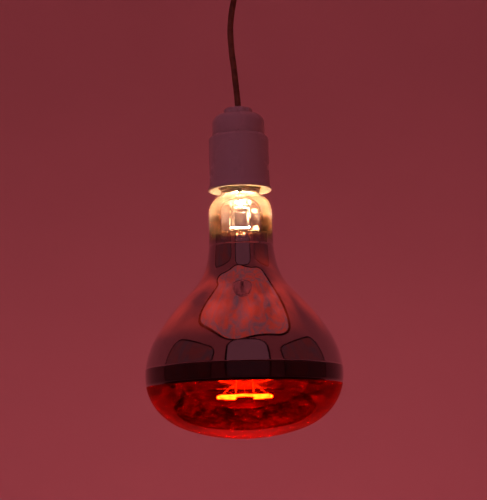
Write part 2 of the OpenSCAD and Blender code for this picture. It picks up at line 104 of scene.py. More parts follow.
def bezier(a, b, c, d, steps):
    """Points on the cubic curve from a to d."""
    points = []
    for i in range(steps + 1):
        t = i / steps
        s = 1 - t
        weights = (s ** 3, 3 * s * s * t, 3 * s * t * t, t ** 3)
        points.append(tuple(sum(w * p[k] for w, p in zip(weights, (a, b, c, d))) for k in (0, 1)))
    return points


def distinct(points, least=0.01):
    """The points without any that all but repeat the one before."""
    kept = [points[0]]
    for p in points[1:]:
        if math.dist(p, kept[-1]) > least:
            kept.append(p)
    return kept


def soften(loop, radius, steps=4):
    """Rounds the corners of a closed outline, leaving corners on the axis as they are."""
    out = []
    count = len(loop)
    for i, p in enumerate(loop):
        before, after = Vector(loop[i - 1]), Vector(loop[(i + 1) % count])
        corner = Vector(p)
        d1, d2 = before - corner, after - corner
        if p[0] < 1e-6 or d1.angle(d2, math.pi) > math.radians(160):
            out.append(p)
            continue
        cut = min(radius, 0.45 * d1.length, 0.45 * d2.length)
        start, end = corner + d1.normalized() * cut, corner + d2.normalized() * cut
        for k in range(steps + 1):
            t = k / steps
            q = start * (1 - t) ** 2 + corner * 2 * t * (1 - t) + end * t * t
            out.append((q.x, q.y))
    return out


def lathe(name, loop, base_z, sides=96, slot_of=None, shape=None, closed=True):
    """Turns a closed outline of (radius, height) in mm about the Z axis.

    slot_of(radius, height, i) picks the material slot of a band, and
    shape(radius, height, angle) may move a point before it is placed."""
    rings, verts, faces, slots = [], [], [], []
    for r, z in loop:
        if r < 1e-6:
            rings.append([len(verts)] * sides)
            verts.append((0, 0, base_z + z * MM))
            continue
        ring = []
        for k in range(sides):
            a = 2 * math.pi * k / sides
            pr, pz = shape(r, z, a) if shape else (r, z)
            ring.append(len(verts))
            verts.append((pr * MM * math.cos(a), pr * MM * math.sin(a), base_z + pz * MM))
        rings.append(ring)
    count = len(rings)
    for i in range(count if closed else count - 1):
        low, high = rings[i], rings[(i + 1) % count]
        if low[0] == low[1] and high[0] == high[1]:
            continue
        (ra, za), (rb, zb) = loop[i], loop[(i + 1) % count]
        slot = slot_of((ra + rb) / 2, (za + zb) / 2, i) if slot_of else 0
        for k in range(sides):
            m = (k + 1) % sides
            face = []
            for v in (low[k], low[m], high[m], high[k]):
                if v not in face:
                    face.append(v)
            faces.append(face)
            slots.append(slot)
    return add_mesh(name, verts, faces, slots)


def smooth_route(points, per_span=6):
    """A Catmull-Rom curve through the points."""
    points = [Vector(p) for p in points]
    padded = [points[0] * 2 - points[1]] + points + [points[-1] * 2 - points[-2]]
    route = []
    for i in range(len(points) - 1):
        a, b, c, d = padded[i:i + 4]
        for k in range(per_span):
            t = k / per_span
            route.append(0.5 * (2 * b + (c - a) * t + (2 * a - 5 * b + 4 * c - d) * t * t
                                + (3 * b - a - 3 * c + d) * t ** 3))
    return route + [points[-1]]


def sweep(name, route, radius, sides=12, relief=None, rounded_ends=False):
    """A closed tube along a route in metres. relief(distance, angle) scales its radius."""
    route = [Vector(p) for p in route]
    verts, faces = [], []
    side = None
    run = 0.0
    last = len(route) - 1
    total = sum((b - a).length for a, b in zip(route, route[1:]))
    for i, p in enumerate(route):
        ahead = (route[min(i + 1, last)] - route[max(i - 1, 0)]).normalized()
        if side is None:
            side = ahead.orthogonal().normalized()
        side = (side - ahead * side.dot(ahead)).normalized()
        other = ahead.cross(side)
        if i:
            run += (p - route[i - 1]).length
        end = 1.0
        if rounded_ends:
            near = min(run, total - run) / radius
            end = math.sqrt(max(0.02, 1 - (1 - min(near, 1)) ** 2))
        for k in range(sides):
            a = 2 * math.pi * k / sides
            r = radius * end * (relief(run, a) if relief else 1)
            verts.append(p + side * (r * math.cos(a)) + other * (r * math.sin(a)))
    for i in range(last):
        for k in range(sides):
            m = (k + 1) % sides
            faces.append([i * sides + k, i * sides + m, (i + 1) * sides + m, (i + 1) * sides + k])
    faces.append(list(range(sides))[::-1])
    faces.append([last * sides + k for k in range(sides)])
    return add_mesh(name, verts, faces)


def join(name, pieces):
    """One new piece made of the meshes of several, which are removed."""
    verts, faces, slots = [], [], []
    for piece in pieces:
        start = len(verts)
        verts += [v.co.copy() for v in piece.data.vertices]
        faces += [[start + v for v in p.vertices] for p in piece.data.polygons]
        slots += [p.material_index for p in piece.data.polygons]
        bpy.data.objects.remove(piece)
    return add_mesh(name, verts, faces, slots)


# ---------------------------------------------------------------- cord
# The points of the cord's route in mm: across, depth, height above the cord grip nut.
CORD_POINTS = [(0, 0, 85), (0, 0, 81), (-0.4, 0.1, 76), (-1.4, 0.3, 71), (-2.4, 0.5, 66),
               (-3.2, 0.6, 60), (-3.7, 0.7, 54), (-3.7, 0.7, 48), (-3.4, 0.6, 42), (-3, 0.5, 36),
               (-2.3, 0.4, 30), (-1.7, 0.3, 24), (-1.2, 0.2, 18), (-0.7, 0.1, 12), (-0.3, 0, 7),
               (0, 0, 2), (0, 0, -4), (0, 0, -12)]


def make_cord():
    """A round two-core cord: the cores twisted inside it show as a faint spiral."""
    twist = 0.032
    route = smooth_route([Vector(p) * MM + Vector((0, 0, nut_high.z)) for p in CORD_POINTS])

    def spiral(run, angle):
        return 0.985 + 0.015 * math.cos(2 * (angle - 2 * math.pi * run / twist))

    cord = sweep("hanging_cord", route, CORD_R, 24, spiral)
    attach(cord, "pendant")
    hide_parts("cord")
    return cord


cord = make_cord()


# ---------------------------------------------------------------- material helpers
class Paint:
    """A node material with one Principled shader and short calls for what feeds it.

    Keyword arguments are the names of the shader's sockets with _ for each space."""

    def __init__(self, name, colour, roughness=0.5, metallic=0.0, **sockets):
        self.material = bpy.data.materials.new(name)
        self.material.use_nodes = True
        self.tree = self.material.node_tree
        self.shader = self.tree.nodes["Principled BSDF"]
        self.output = self.tree.nodes["Material Output"]
        self.set("Base Color", (*colour, 1))
        self.set("Roughness", roughness)
        self.set("Metallic", metallic)
        for socket, value in sockets.items():
            self.set(socket.replace("_", " "), value)
        place = self.node("ShaderNodeTexCoord")
        self.place = place.outputs["Object"]

    def node(self, kind, **settings):
        made = self.tree.nodes.new(kind)
        for key, value in settings.items():
            setattr(made, key, value)
        return made

    def set(self, socket, value):
        self.shader.inputs[socket].default_value = value

    def link(self, out, into):
        self.tree.links.new(out, into)

    def stretched(self, scale):
        """The object's own coordinates, scaled by (x, y, z)."""
        mapping = self.node("ShaderNodeMapping")
        mapping.inputs["Scale"].default_value = scale
        self.link(self.place, mapping.inputs["Vector"])
        return mapping.outputs["Vector"]

    def noise(self, scale, detail=4.0, roughness=0.55, distortion=0.0, vector=None):
        made = self.node("ShaderNodeTexNoise")
        made.inputs["Scale"].default_value = scale
        made.inputs["Detail"].default_value = detail
        made.inputs["Roughness"].default_value = roughness
        made.inputs["Distortion"].default_value = distortion
        self.link(vector or self.place, made.inputs["Vector"])
        return made.outputs["Fac"]

    def spots(self, scale, share):
        """Scattered specks: 1 in a share of the cells, 0 elsewhere."""
        cells = self.node("ShaderNodeTexVoronoi")
        cells.inputs["Scale"].default_value = scale
        self.link(self.place, cells.inputs["Vector"])
        near = self.span(cells.outputs["Distance"], 0.16, 0.08, 0, 1)
        pick = self.node("ShaderNodeSeparateColor")
        self.link(cells.outputs["Color"], pick.inputs["Color"])
        chosen = self.math("GREATER_THAN", pick.outputs["Red"], 1 - share)
        return self.math("MULTIPLY", near, chosen)

    def math(self, operation, a, b=None):
        made = self.node("ShaderNodeMath", operation=operation)
        for socket, value in zip(made.inputs, (a, b)):
            if isinstance(value, (int, float)):
                socket.default_value = value
            elif value is not None:
                self.link(value, socket)
        return made.outputs[0]

    def span(self, value, from_low, from_high, to_low, to_high):
        made = self.node("ShaderNodeMapRange")
        for socket, number in zip(("From Min", "From Max", "To Min", "To Max"),
                                  (from_low, from_high, to_low, to_high)):
            made.inputs[socket].default_value = number
        self.link(value, made.inputs["Value"])
        return made.outputs["Result"]

    def blend(self, factor, first, second):
        """A colour between two colours, or outputs that give a colour."""
        made = self.node("ShaderNodeMix", data_type="RGBA")
        self.link(factor, made.inputs["Factor"])
        for socket, value in ((made.inputs[6], first), (made.inputs[7], second)):
            if isinstance(value, tuple):
                socket.default_value = (*value, 1)
            else:
                self.link(value, socket)
        return made.outputs[2]

    def colour(self, out):
        self.link(out, self.shader.inputs["Base Color"])

    def rough(self, out):
        self.link(out, self.shader.inputs["Roughness"])

    def bump(self, height, distance_mm, strength=1.0):
        made = self.node("ShaderNodeBump")
        made.inputs["Strength"].default_value = strength
        made.inputs["Distance"].default_value = distance_mm * MM
        self.link(height, made.inputs["Height"])
        self.link(made.outputs["Normal"], self.shader.inputs["Normal"])
        return made.outputs["Normal"]

    def height(self):
        """Height in metres in the part's frame."""
        split = self.node("ShaderNodeSeparateXYZ")
        self.link(self.place, split.inputs[0])
        return split.outputs["Z"]


def porcelain(name, colour):
    """Glazed: glossy, with a faint orange peel, hazy patches and a few fine pits."""
    p = Paint(name, colour, 0.22, Coat_Weight=0.35, Coat_Roughness=0.08, Specular_IOR_Level=0.5)
    cloud = p.noise(45, 5)
    pits = p.spots(420, 0.05)
    dusty = tuple(0.86 * c for c in colour)
    stained = p.blend(p.span(cloud, 0.48, 0.75, 0, 0.5), colour, dusty)
    p.colour(p.blend(p.math("MULTIPLY", pits, 0.6), stained, (0.30, 0.24, 0.18)))
    p.rough(p.span(cloud, 0.3, 0.7, 0.16, 0.34))
    peel = p.noise(260, 2)
    p.bump(p.math("SUBTRACT", peel, p.math("MULTIPLY", pits, 0.6)), 0.05, 0.5)
    return p.material


def bisque(name, colour):
    """Unglazed ceramic: dry, fine grained, with dark specks."""
    p = Paint(name, colour, 0.75)
    grain = p.noise(900, 6, 0.7)
    specks = p.spots(900, 0.08)
    base = p.blend(p.span(grain, 0.3, 0.7, 0, 1), colour, tuple(0.82 * c for c in colour))
    p.colour(p.blend(p.math("MULTIPLY", specks, 0.5), base, (0.35, 0.28, 0.20)))
    p.rough(p.span(grain, 0.3, 0.7, 0.62, 0.85))
    p.bump(grain, 0.08, 0.6)
    return p.material


def plastic(name, colour, roughness=0.42):
    """Moulded plastic: a fine spark-eroded grain and slight flow marks."""
    p = Paint(name, colour, roughness)
    grain = p.noise(600, 5, 0.65)
    flow = p.noise(60, 3, vector=p.stretched((1, 1, 0.25)))
    p.colour(p.blend(p.span(flow, 0.35, 0.7, 0, 1), colour, tuple(0.85 * c for c in colour)))
    p.rough(p.span(grain, 0.3, 0.7, roughness - 0.08, roughness + 0.1))
    p.bump(grain, 0.03, 0.5)
    return p.material


def rubber(name, colour):
    """Moulded rubber: dull and fine grained, with a pale bloom in patches."""
    p = Paint(name, colour, 0.7)
    grain = p.noise(700, 5, 0.7)
    bloom = p.noise(120, 4)
    p.colour(p.blend(p.span(bloom, 0.45, 0.7, 0, 0.6), colour, (0.20, 0.19, 0.18)))
    p.rough(p.span(grain, 0.3, 0.7, 0.6, 0.85))
    p.bump(grain, 0.04, 0.5)
    return p.material


def metal(name, colour, roughness, drawn=(1, 1, 40), tarnish=0.25, stain=(0.35, 0.27, 0.18)):
    """Worked metal: fine lines across the drawn direction and blotches of tarnish."""
    p = Paint(name, colour, roughness, 1.0)
    lines = p.noise(260, 3, 0.5, vector=p.stretched(drawn))
    blotch = p.noise(150, 5)
    p.colour(p.blend(p.span(blotch, 0.5, 0.8, 0, tarnish), colour, stain))
    p.rough(p.span(lines, 0.3, 0.7, roughness * 0.75, roughness * 1.35))
    p.bump(lines, 0.012, 0.5)
    return p.material


def cord_cover(name, colour):
    """Old flexible cover: slightly waxy, with faint rings, scuffs and grime."""
    p = Paint(name, colour, 0.5, Coat_Weight=0.1, Coat_Roughness=0.4)
    grime = p.noise(160, 5)
    rings = p.noise(220, 2, vector=p.stretched((0.3, 0.3, 6)))
    worn = p.blend(p.span(grime, 0.4, 0.7, 0, 1), colour, tuple(0.55 * c for c in colour))
    p.colour(p.blend(p.span(rings, 0.55, 0.75, 0, 0.35), worn, tuple(1.25 * c for c in colour)))
    p.rough(p.span(grime, 0.3, 0.7, 0.42, 0.62))
    p.bump(rings, 0.04, 0.5)
    return p.material


def wavy_glass_normal(p, distance_mm=0.25):
    """Blown glass: long shallow waves, drawn out along the axis."""
    waves = p.noise(28, 2, 0.4, vector=p.stretched((1, 1, 0.35)))
    return p.bump(waves, distance_mm, 0.12)


def see_through(name, tint, dust=0.03, wave_mm=0.25, mirrored=None, milky=None, gloss=(1, 1, 1),
                ior=1.5):
    """Thin glass: mostly lets light straight through, with a Fresnel reflection, smears and dust.

    mirrored=(from_z, to_z) silvers it below from_z and fades to clear glass at to_z.
    milky=(colour, least, most, edge) is a coat that scatters a share of the light, in patches
    from least to most, and edge more where the glass is seen at a slant."""
    dust_colour = (0.8, 0.76, 0.72)
    p = Paint(name, dust_colour, 0.6)
    normal = wavy_glass_normal(p, wave_mm)
    clear = p.node("ShaderNodeBsdfTransparent")
    clear.inputs["Color"].default_value = (*tint, 1)
    shine = p.node("ShaderNodeBsdfGlossy")
    shine.inputs["Roughness"].default_value = 0.02
    shine.inputs["Color"].default_value = (*gloss, 1)
    p.link(normal, shine.inputs["Normal"])
    fresnel = p.node("ShaderNodeFresnel")
    fresnel.inputs["IOR"].default_value = ior
    p.link(normal, fresnel.inputs["Normal"])
    glass = p.node("ShaderNodeMixShader")
    p.link(fresnel.outputs[0], glass.inputs[0])
    p.link(clear.outputs[0], glass.inputs[1])
    p.link(shine.outputs[0], glass.inputs[2])
    if milky:
        colour, least, most, edge = milky
        cloud = p.node("ShaderNodeBsdfTranslucent")
        cloud.inputs["Color"].default_value = (*colour, 1)
        slant = p.node("ShaderNodeLayerWeight")
        slant.inputs["Blend"].default_value = 0.3
        rim = p.math("MULTIPLY", p.math("POWER", slant.outputs["Facing"], 7), edge)
        streaky = p.noise(85, 6, 0.7, 1.5, p.stretched((1, 1, 2.4)))
        patches = p.span(streaky, 0.45, 0.70, least, most)
        coat = p.node("ShaderNodeMixShader")
        p.link(p.math("ADD", patches, rim), coat.inputs[0])
        p.link(glass.outputs[0], coat.inputs[1])
        p.link(cloud.outputs[0], coat.inputs[2])
        glass = coat
    specks = p.spots(700, 0.10)
    smear = p.span(p.noise(70, 6, 0.65), 0.5, 0.8, 0, dust)
    dirty = p.node("ShaderNodeMixShader")
    p.link(p.math("ADD", smear, p.math("MULTIPLY", specks, 3 * dust)), dirty.inputs[0])
    p.link(glass.outputs[0], dirty.inputs[1])
    p.link(p.shader.outputs[0], dirty.inputs[2])
    surface = dirty
    if mirrored:
        silver = p.node("ShaderNodeBsdfGlossy")
        silver.inputs["Color"].default_value = (0.80, 0.78, 0.78, 1)
        silver.inputs["Roughness"].default_value = 0.04
        p.link(normal, silver.inputs["Normal"])
        ragged = p.math("ADD", p.height(), p.span(p.noise(90, 5), 0, 1, -2 * MM, 2 * MM))
        fade = p.node("ShaderNodeMixShader")
        p.link(p.span(ragged, mirrored[0], mirrored[1], 0, 1), fade.inputs[0])
        p.link(silver.outputs[0], fade.inputs[1])
        p.link(dirty.outputs[0], fade.inputs[2])
        surface = fade
    p.link(surface.outputs[0], p.output.inputs["Surface"])
    return p.material


def silvering(name, colour=(0.63, 0.60, 0.62), roughness=0.05, painted_glow=None, **sockets):
    """Silvered glass: a mirror under a clear coat, with waves and tiny pinholes.

    With heights (from_z, to_z) it paints a glow in streaks between them: emission that stands for
    the light inside leaking through the thinner silver."""
    p = Paint(name, colour, roughness, 1.0, **sockets)
    wavy_glass_normal(p)
    if painted_glow:
        # Painted glow: emission in streaks round a belt between the two heights, standing for light
        # from inside leaking through the silver.
        middle, reach = (painted_glow[0] + painted_glow[1]) / 2, (painted_glow[1] - painted_glow[0]) / 2
        away = p.math("ABSOLUTE", p.math("SUBTRACT", p.height(), middle))
        belt = p.span(away, 0.35 * reach, reach, 1, 0)
        streaks = p.span(p.noise(26, 4, 0.5, 0.6, p.stretched((1, 1, 0.45))), 0.46, 0.68, 0, 1)
        p.set("Emission Color", (0.50, 0.030, 0.014, 1))
        p.link(p.math("MULTIPLY", p.math("MULTIPLY", belt, streaks), 0.8),
               p.shader.inputs["Emission Strength"])
    blot = p.noise(120, 5)
    pin = p.spots(900, 0.04)
    dull = tuple(0.82 * c for c in colour)
    clouded = p.blend(p.span(blot, 0.5, 0.8, 0, 0.5), colour, dull)
    p.colour(p.blend(p.math("MULTIPLY", pin, 0.7), clouded, (0.25, 0.12, 0.10)))
    p.rough(p.span(blot, 0.35, 0.75, roughness * 0.6, roughness * 1.8))
    return p.material


def lacquer(name):
    """Ruby lacquer over the silvering: all but black, with a hard gloss."""
    near_black, deep_red = (0.022, 0.0012, 0.002), (0.050, 0.003, 0.003)
    p = Paint(name, near_black, 0.12, Coat_Weight=1.0, Coat_Roughness=0.03, Coat_IOR=1.6)
    wavy_glass_normal(p)
    blot = p.noise(110, 4)
    p.colour(p.blend(p.span(blot, 0.4, 0.75, 0, 1), near_black, deep_red))
    p.rough(p.span(blot, 0.3, 0.7, 0.08, 0.2))
    return p.material


def glowing(name, colour, strength):
    """Hot wire: glowing, a little uneven in colour along its length."""
    p = Paint(name, (0.3, 0.25, 0.2), 0.4, 1.0)
    redder = (colour[0], 0.8 * colour[1], 0.6 * colour[2])
    uneven = p.span(p.noise(300, 3), 0.3, 0.7, 0, 1)
    p.link(p.blend(uneven, colour, redder), p.shader.inputs["Emission Color"])
    p.set("Emission Strength", strength)
    return p.material


WHITE = (0.80, 0.78, 0.74)
IVORY = (0.72, 0.66, 0.54)
MATERIALS = {
    "white_ceramic": porcelain("white_porcelain", WHITE),
    "ivory_ceramic": bisque("ivory_bisque", IVORY),
    "nylon": plastic("natural_nylon", IVORY),
    "brass": metal("stamped_brass", (0.78, 0.54, 0.22), 0.3),
    "steel": metal("zinc_steel", (0.62, 0.63, 0.66), 0.3, stain=(0.3, 0.28, 0.25)),
    "cord_cover": cord_cover("tan_cord_cover", (0.30, 0.17, 0.075)),
    "core_blue": plastic("blue_core", (0.03, 0.09, 0.32), 0.35),
    "core_brown": plastic("brown_core", (0.12, 0.05, 0.02), 0.35),
    "black_rubber": rubber("black_rubber", (0.025, 0.024, 0.023)),
    "cap_metal": metal("tinned_cap", (0.72, 0.69, 0.62), 0.26, drawn=(1, 1, 25)),
    "black_glass": porcelain("black_cap_glass", (0.012, 0.012, 0.016)),
    "solder": metal("dull_solder", (0.52, 0.52, 0.50), 0.45, drawn=(1, 1, 1)),
    "cement": bisque("basing_cement", (0.55, 0.48, 0.36)),
    "ruby_glass": see_through("ruby_glass", (0.72, 0.10, 0.03),
                              milky=((0.75, 0.014, 0.006), 0.0, 0.10, 0.14),
                              gloss=(0.75, 0.20, 0.14)),
    "clear_glass": see_through("stem_glass", (0.93, 0.94, 0.94), 0.02, 0.1),
    "shield_metal": metal("pressed_shield", (0.86, 0.85, 0.83), 0.18, drawn=(1, 1, 1), tarnish=0.1),
    "wire": metal("nickel_wire", (0.50, 0.47, 0.44), 0.3, drawn=(1, 1, 8)),
    "hot_filament": glowing("hot_filament", (1.0, 0.50, 0.16), 220),
}


def dress(piece, *materials):
    piece.data.materials.clear()
    for material in materials:
        piece.data.materials.append(material)


def finish_piece(piece, body, slot, *nodes, materials=None):
    """Gives a piece its body and its materials, those of the slot unless others are given, and hides
    the CAD nodes it stands for.
    """
    dress(piece, *(materials or [MATERIALS[slot]]))
    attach(piece, body)
    if nodes:
        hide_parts(*nodes)
    return piece


dress(cord, MATERIALS["cord_cover"])
for part in frame["record"]["subparts"]:
    dress(frame["nodes"][part["node"]], MATERIALS[part["material_slot"]])


# ---------------------------------------------------------------- bulb
FACE_R, FACE_EDGE, BELLY_Z = 115.0, 34.0, 40.5
SHOULDER = (31.8, 94.0)
NECK_R = 20.3
GLASS_WALL = 1.1
# Heights at which the ruby face, its band, the silver and the fading silver end.
CUT_Z, COAT_Z, SILVER_Z, CLEAR_Z = 33.2, 44.1, 122.0, 129.0
NECK_TOP_Z = 171.0


def glass_outline():
    """Outside of the glass from its lowest point to the neck inside the cap, in mm."""
    edge = math.asin(FACE_EDGE / FACE_R)
    end = (FACE_EDGE, FACE_R - FACE_R * math.cos(edge))
    lean = (end[0] + 17 * math.cos(edge), end[1] + 17 * math.sin(edge))
    belly = BULB_R / MM
    return distinct(
        arc((0, FACE_R), FACE_R, -90, -90 + math.degrees(edge), 24)
        + bezier(end, lean, (belly, BELLY_Z - 18.5), (belly, BELLY_Z), 20)
        + bezier((belly, BELLY_Z), (belly, BELLY_Z + 19.5),
                 (SHOULDER[0] + 15, SHOULDER[1] - 15), SHOULDER, 36)
        + bezier(SHOULDER, (SHOULDER[0] - 10, SHOULDER[1] + 10), (NECK_R, 116),
                 (NECK_R, 136), 28)
        + bezier((NECK_R, 143), (NECK_R, 149), (17.5, 153.4), (13.4, 154.4), 18)
        + bezier((12.4, 154.7), (11.6, 154.9), (11.2, 155.3), (11.2, 156.4), 6)
        + [(11.2, NECK_TOP_Z)])


def cut(outline, low, high):
    """The stretch of an outline between two heights, with its ends exactly there."""
    out = []
    for (r0, z0), (r1, z1) in zip(outline, outline[1:]):
        for level in (low, high):
            if z0 < level < z1:
                t = (level - z0) / (z1 - z0)
                out.append((r0 + (r1 - r0) * t, level))
        if low <= z1 <= high:
            out.append((r1, z1))
    if outline[0][1] >= low:
        out.insert(0, outline[0])
    return distinct(sorted(out, key=lambda p: p[1]), 0.02)


def wall(outline):
    """A closed outline, the outside going up and the inside coming down, and its turning point."""
    inside = []
    last = len(outline) - 1
    for i, p in enumerate(outline):
        ahead, behind = outline[min(i + 1, last)], outline[max(i - 1, 0)]
        dr, dz = ahead[0] - behind[0], ahead[1] - behind[1]
        size = math.hypot(dr, dz)
        inside.append((max(0, p[0] - GLASS_WALL * dz / size), p[1] + GLASS_WALL * dr / size))
    if outline[0][0] < 1e-6:
        inside[0] = (0, outline[0][1] + GLASS_WALL)
    return list(outline) + inside[::-1], len(outline)


def make_bulb():
    """The glass in five zones, one piece each, with its own outside and inside coats."""
    outline = glass_outline()
    # The outside silver gets a painted glow between these heights, standing for light leaking
    # through it.
    silver = silvering("silvered_funnel", painted_glow=(LAMP_Z + 0.060, LAMP_Z + 0.121),
                       Coat_Weight=1.0, Coat_Roughness=0.02)
    inner_silver = silvering("inner_silvering", (0.88, 0.86, 0.85), 0.03)
    haze = ((0.80, 0.42, 0.24), 0.01, 0.06, 0.30)
    clear = see_through("clear_neck", (0.95, 0.93, 0.90), 0.04, milky=haze)
    fading = see_through("fading_silver", (0.95, 0.93, 0.90), 0.04, milky=haze,
                         mirrored=(LAMP_Z + SILVER_Z * MM, LAMP_Z + CLEAR_Z * MM))
    inner_clear = see_through("inner_neck", (0.97, 0.97, 0.97), 0.01)
    inner_face = see_through("inner_face", (0.97, 0.97, 0.97), 0.01, 0.5, ior=2.3)
    dark = lacquer("dark_band")
    zones = (
        ("ruby_face", 0.0, CUT_Z, (MATERIALS["ruby_glass"], inner_face)),
        ("ruby_band", CUT_Z, COAT_Z, (dark, inner_silver)),
        ("silvered_funnel", COAT_Z, SILVER_Z, (silver, inner_silver)),
        ("silver_edge", SILVER_Z, CLEAR_Z, (fading, inner_clear)),
        ("clear_neck", CLEAR_Z, NECK_TOP_Z, (clear, inner_clear)),
    )
    for name, low, high, coats in zones:
        loop, outside = wall(cut(outline, low, high))
        piece = lathe(name, loop, LAMP_Z, 160,
                      slot_of=lambda r, z, i, n=outside: 0 if i < n - 1 else 1)
        finish_piece(piece, "lamp", "ruby_glass", materials=coats)
        if name == "ruby_face":
            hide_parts("bulb_glass")


make_bulb()


# ---------------------------------------------------------------- inside the bulb
PINCH_Z, FLARE_Z = 134.0, 148.0
SHIELD_Z = 129.6
WIRE_X = 4.5
FILAMENT_R, FILAMENT_Z, COIL_R = 16.75, 26.5, 0.9
HUB_Z = FILAMENT_Z + 8
HALF_GAP = math.radians(20)


def loft(name, sections):
    """A closed solid through rounded rectangles: (height, half width, half depth, squareness)."""
    sides = 64
    verts, faces = [], []
    for z, a, b, power in sections:
        for k in range(sides):
            t = 2 * math.pi * k / sides
            c, s = math.cos(t), math.sin(t)
            x = a * math.copysign(abs(c) ** (2 / power), c)
            y = b * math.copysign(abs(s) ** (2 / power), s)
            verts.append((x * MM, y * MM, LAMP_Z + z * MM))
    for i in range(len(sections) - 1):
        for k in range(sides):
            m = (k + 1) % sides
            faces.append([i * sides + k, i * sides + m, (i + 1) * sides + m, (i + 1) * sides + k])
    faces.append(list(range(sides))[::-1])
    faces.append([(len(sections) - 1) * sides + k for k in range(sides)])
    return add_mesh(name, verts, faces)


def make_stem():
    """The glass flare and pinch, the pump tube, and the rod and hub that carry the filament."""
    flare = lathe("flare", soften([(7, FLARE_Z), (7, 160), (8.2, 165), (9.9, 168), (9.9, 169.2),
                                   (8.4, 168.4), (7, 165.4), (5.6, 160), (5.6, FLARE_Z)], 1.2),
                  LAMP_Z, 64)
    pinch = loft("pinch", [(PINCH_Z, 5.6, 1.6, 3), (PINCH_Z + 0.5, 6.6, 2.4, 3.4),
                           (PINCH_Z + 1.5, 7, 2.8, 4), (144, 7, 2.8, 4), (145.4, 7, 3.4, 3),
                           (146.6, 7, 5, 2.4), (FLARE_Z, 7, 6.6, 2)])
    finish_piece(join("stem_glass", [flare, pinch]), "lamp", "clear_glass", "lamp_stem")
    tube = lathe("pump_tube", [(2.2, FLARE_Z), (2.2, 169), (1.9, 170), (1.4, 170), (1.4, FLARE_Z)],
                 LAMP_Z, 32)
    finish_piece(tube, "lamp", "clear_glass", "exhaust_tube")
    rod = lathe("glass_rod", soften([(0, HUB_Z + 5), (1.5, HUB_Z + 5), (1.5, PINCH_Z), (0, PINCH_Z)],
                                    0.3), LAMP_Z, 32)
    collar = lathe("rod_collar", soften([(1.5, SHIELD_Z - 0.6), (2.6, SHIELD_Z - 0.6),
                                         (2.6, SHIELD_Z + 0.6), (1.5, SHIELD_Z + 0.6)], 0.5),
                   LAMP_Z, 32)
    finish_piece(join("support_rod_glass", [rod, collar]), "lamp", "clear_glass", "support_rod")
    hub = lathe("hub_glass", [(0, HUB_Z)] + arc((1.6, HUB_Z + 1.4), 1.4, -90, 0, 6)
                + arc((1.6, HUB_Z + 3.6), 1.4, 0, 90, 6) + [(0, HUB_Z + 5)], LAMP_Z, 32)
    finish_piece(hub, "lamp", "clear_glass", "support_hub")


def make_shield():
    """A pressed disc with a crimped well in its middle and a rolled edge."""
    z = SHIELD_Z
    loop = soften([(2, z - 1), (6.6, z - 1), (7.8, z), (13.6, z), (14.5, z - 0.3), (14.5, z + 0.3),
                   (13.6, z + 0.4), (7.6, z + 0.4), (6.4, z - 0.6), (2, z - 0.6)], 0.35, 3)
    dense = []
    for i, (r, h) in enumerate(loop):
        nr, nh = loop[(i + 1) % len(loop)]
        parts = max(1, int(abs(nr - r) / 0.6))
        dense += [(r + (nr - r) * k / parts, h + (nh - h) * k / parts) for k in range(parts)]

    def crimp(r, h, angle):
        rise = max(0.0, 1 - abs(r - 8.6) / 2.4)
        dent = noise.noise(Vector((r * 0.35 * math.cos(angle), r * 0.35 * math.sin(angle), 3)))
        return r, h + 0.34 * rise * math.cos(14 * angle) + 0.18 * dent * (r > 3)

    shield = lathe("shield_disc", dense, LAMP_Z, 168, shape=crimp)
    finish_piece(shield, "lamp", "shield_metal", "heat_shield")


def make_wires():
    """Two lead-in wires that run down beside the rod and spread to the ends of the coil."""
    reach = (FILAMENT_R * math.sin(HALF_GAP), FILAMENT_R * math.cos(HALF_GAP))
    pieces = []
    for side in (-1, 1):
        points = [(WIRE_X, 0, 172), (WIRE_X, 0, 150), (WIRE_X, 0, 120), (WIRE_X, 0, 90),
                  (WIRE_X, 0, 62), (WIRE_X, 0.6, 52), (WIRE_X, 3, 46), (WIRE_X + 0.4, 7.5, 40),
                  (WIRE_X + 0.9, 12, FILAMENT_Z + 7), (reach[0], reach[1] - 1.2, FILAMENT_Z + 2.4),
                  (reach[0], reach[1], FILAMENT_Z + 0.3)]
        route = smooth_route([Vector((side * x, y, z)) * MM + Vector((0, 0, LAMP_Z))
                              for x, y, z in points], 5)
        pieces.append(sweep("wire", route, 0.55 * MM, 12, rounded_ends=True))
    finish_piece(join("lead_in_wires", pieces), "lamp", "wire", "lead_wires")


def make_supports():
    """Five fine wires from the hub, each ending in a pigtail round the coil."""
    pieces = []
    for i in range(1, 6):
        turn = Matrix.Rotation(math.radians(90 + 60 * i), 4, "Z")
        loop_r = COIL_R + 0.32
        points = [(1.5, 0, HUB_Z + 2.4), (3, 0, HUB_Z + 2.3), (8, 0, HUB_Z - 0.6),
                  (13, 0, FILAMENT_Z + 3.6), (FILAMENT_R - 1.2, 0, FILAMENT_Z + 1.9)]
        for k in range(15):
            a = math.radians(120 - 30 * k)
            points.append((FILAMENT_R + loop_r * math.cos(a), 0.07 * (k - 3),
                           FILAMENT_Z + loop_r * math.sin(a)))
        route = [turn @ (p * MM) + Vector((0, 0, LAMP_Z))
                 for p in smooth_route(points, 4)]
        pieces.append(sweep("support", route, 0.2 * MM, 8, rounded_ends=True))
    finish_piece(join("support_wires", pieces), "lamp", "wire", "filament_supports")


